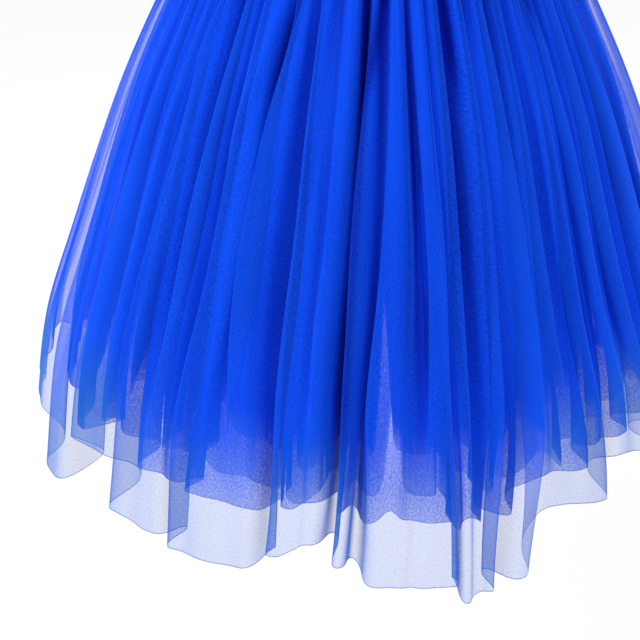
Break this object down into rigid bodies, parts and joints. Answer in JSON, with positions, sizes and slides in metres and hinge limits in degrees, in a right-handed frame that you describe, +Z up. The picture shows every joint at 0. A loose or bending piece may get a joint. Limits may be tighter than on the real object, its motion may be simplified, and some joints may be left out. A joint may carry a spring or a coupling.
{
  "type": "ballet dress",
  "caption": "Ballet dress with a plain strappy bodice over a full, gathered skirt of soft tulle layers, the outermost longest and sheerest.",
  "frame": {"origin": "where the dress is held up: midway between the tops of its two shoulder straps", "axes": "+Z up, -Y out of the front of the dress, +X towards the wearer's left"},
  "size_m": [0.79, 0.755, 1.1475],
  "materials": {
    "bodice_cloth": "matt stretch knit, royal blue",
    "strap": "matt stretch knit band, royal blue",
    "tulle_outer": "soft sheer tulle, royal blue",
    "tulle_inner": "soft sheer tulle in several layers, royal blue"
  },
  "bodies": {
    "root": {"bodice_front": "bodice_cloth", "bodice_back": "bodice_cloth", "strap_left": "strap", "strap_right": "strap", "tulle_outer_front": "tulle_outer", "tulle_outer_left": "tulle_outer", "tulle_outer_back": "tulle_outer", "tulle_outer_right": "tulle_outer", "tulle_second_front": "tulle_inner", "tulle_second_left": "tulle_inner", "tulle_second_back": "tulle_inner", "tulle_second_right": "tulle_inner", "tulle_third_front": "tulle_inner", "tulle_third_left": "tulle_inner", "tulle_third_back": "tulle_inner", "tulle_third_right": "tulle_inner", "tulle_fourth_front": "tulle_inner", "tulle_fourth_left": "tulle_inner", "tulle_fourth_back": "tulle_inner", "tulle_fourth_right": "tulle_inner"}
  },
  "joints": []
}
